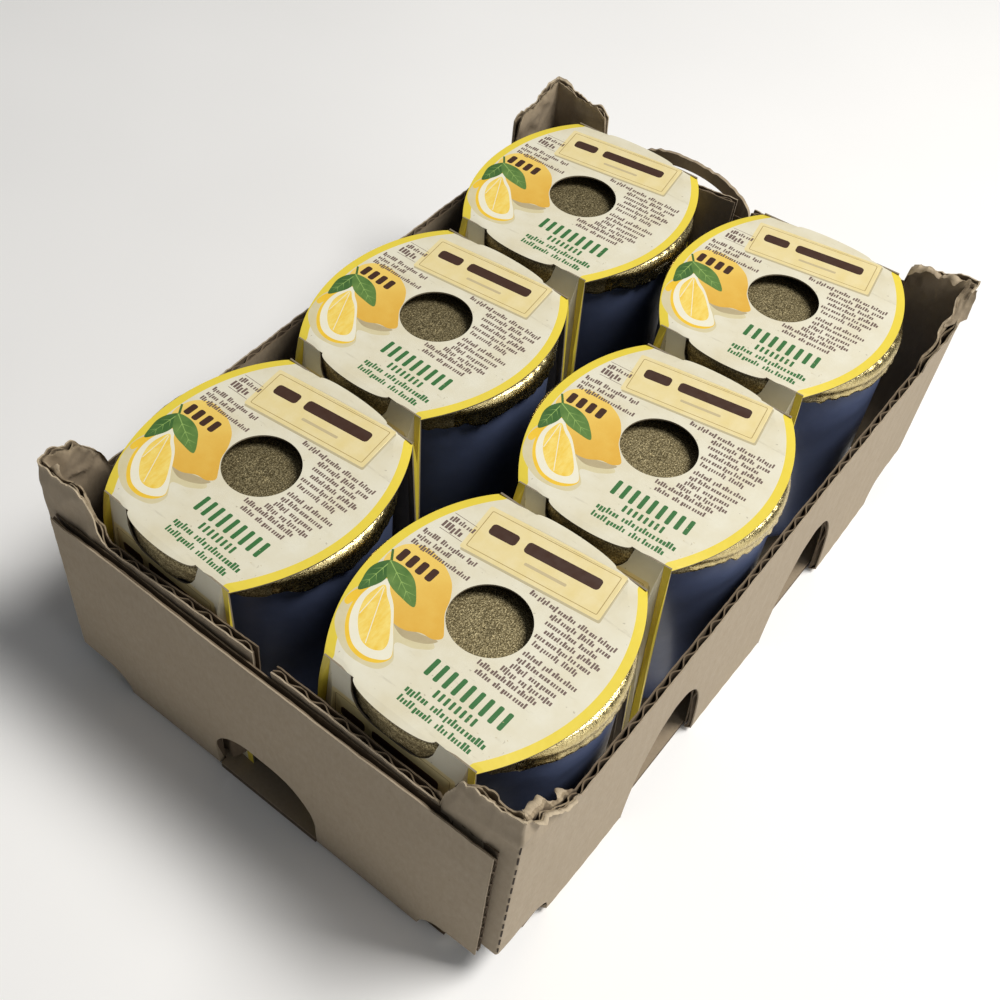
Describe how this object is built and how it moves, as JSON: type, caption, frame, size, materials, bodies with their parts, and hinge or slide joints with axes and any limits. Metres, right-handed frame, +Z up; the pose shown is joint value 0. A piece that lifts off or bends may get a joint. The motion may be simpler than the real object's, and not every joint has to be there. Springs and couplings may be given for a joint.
{
  "type": "shelf-ready corrugated tray of glazed pots with foil lids and carton sleeves",
  "caption": "Low corrugated-board display tray with torn corner posts, holding glazed pots sealed with foil and wrapped in printed carton sleeves that lift out.",
  "frame": {"origin": "centre of the bounding box on the face the tray stands on", "axes": "+X across the tray towards the wall called right, +Y along the tray from the front end panel to the back one, +Z up"},
  "size_m": [0.1434, 0.2168, 0.0795],
  "materials": {
    "tray_board": "matte",
    "pot_glaze": "gloss",
    "pot_filling": "satin",
    "lid_foil": "gloss",
    "sleeve_carton": "satin"
  },
  "bodies": {
    "tray": {"tray_floor": "tray_board", "wall_right": "tray_board", "wall_left": "tray_board", "flap_front_left": "tray_board", "flap_front_right": "tray_board", "flap_back_left": "tray_board", "flap_back_right": "tray_board", "panel_front": "tray_board", "panel_back": "tray_board"},
    "potted_front_left": {"pot_front_left": "pot_glaze", "yogurt_front_left": "pot_filling", "foil_lid_front_left": "lid_foil", "sleeve_front_left": "sleeve_carton"},
    "potted_front_right": {"pot_front_right": "pot_glaze", "yogurt_front_right": "pot_filling", "foil_lid_front_right": "lid_foil", "sleeve_front_right": "sleeve_carton"},
    "potted_middle_left": {"pot_middle_left": "pot_glaze", "yogurt_middle_left": "pot_filling", "foil_lid_middle_left": "lid_foil", "sleeve_middle_left": "sleeve_carton"},
    "potted_middle_right": {"pot_middle_right": "pot_glaze", "yogurt_middle_right": "pot_filling", "foil_lid_middle_right": "lid_foil", "sleeve_middle_right": "sleeve_carton"},
    "potted_back_left": {"pot_back_left": "pot_glaze", "yogurt_back_left": "pot_filling", "foil_lid_back_left": "lid_foil", "sleeve_back_left": "sleeve_carton"},
    "potted_back_right": {"pot_back_right": "pot_glaze", "yogurt_back_right": "pot_filling", "foil_lid_back_right": "lid_foil", "sleeve_back_right": "sleeve_carton"}
  },
  "joints": [
    {"name": "lift_out_front_left", "type": "slide", "parent": "tray", "child": "potted_front_left", "axis": [0, 0, 1], "range_m": [0, 0.1]},
    {"name": "lift_out_front_right", "type": "slide", "parent": "tray", "child": "potted_front_right", "axis": [0, 0, 1], "range_m": [0, 0.1]},
    {"name": "lift_out_middle_left", "type": "slide", "parent": "tray", "child": "potted_middle_left", "axis": [0, 0, 1], "range_m": [0, 0.1]},
    {"name": "lift_out_middle_right", "type": "slide", "parent": "tray", "child": "potted_middle_right", "axis": [0, 0, 1], "range_m": [0, 0.1]},
    {"name": "lift_out_back_left", "type": "slide", "parent": "tray", "child": "potted_back_left", "axis": [0, 0, 1], "range_m": [0, 0.1]},
    {"name": "lift_out_back_right", "type": "slide", "parent": "tray", "child": "potted_back_right", "axis": [0, 0, 1], "range_m": [0, 0.1]}
  ]
}
